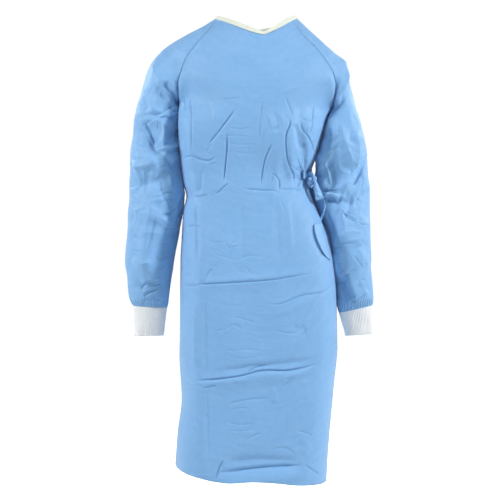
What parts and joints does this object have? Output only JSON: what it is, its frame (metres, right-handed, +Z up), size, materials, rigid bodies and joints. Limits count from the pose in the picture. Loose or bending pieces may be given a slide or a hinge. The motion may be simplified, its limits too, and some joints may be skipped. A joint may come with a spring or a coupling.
{
  "type": "surgical gown",
  "caption": "Long-sleeved surgical gown in light blue nonwoven cloth, filled out as worn, with raglan sleeves, white knitted cuffs, bound neck, wrap back and a belt tied at the left waist.",
  "frame": {"origin": "middle of the neck opening at the height of the neck points, where the wearer's shoulders carry the gown", "axes": "+Z up along the body, -Y to the front of the gown, +X to the wearer's left"},
  "size_m": [0.6122, 0.314, 1.1541],
  "materials": {
    "gown_cloth": "matte with a slight sheen",
    "belt_cloth": "matte with a slight sheen",
    "knit": "matte ribbed knit",
    "binding": "matte",
    "hook_and_loop": "matte"
  },
  "bodies": {
    "root": {"front": "gown_cloth", "back_left": "gown_cloth", "back_right": "gown_cloth", "sleeve_left": "gown_cloth", "sleeve_right": "gown_cloth", "cuff_left": "knit", "cuff_right": "knit", "neck_binding": "binding", "neck_patch": "hook_and_loop", "neck_tab": "hook_and_loop", "belt_wrap": "belt_cloth", "belt_anchor": "belt_cloth", "belt_knot": "belt_cloth", "belt_loop": "belt_cloth", "belt_tail": "belt_cloth"}
  },
  "joints": []
}
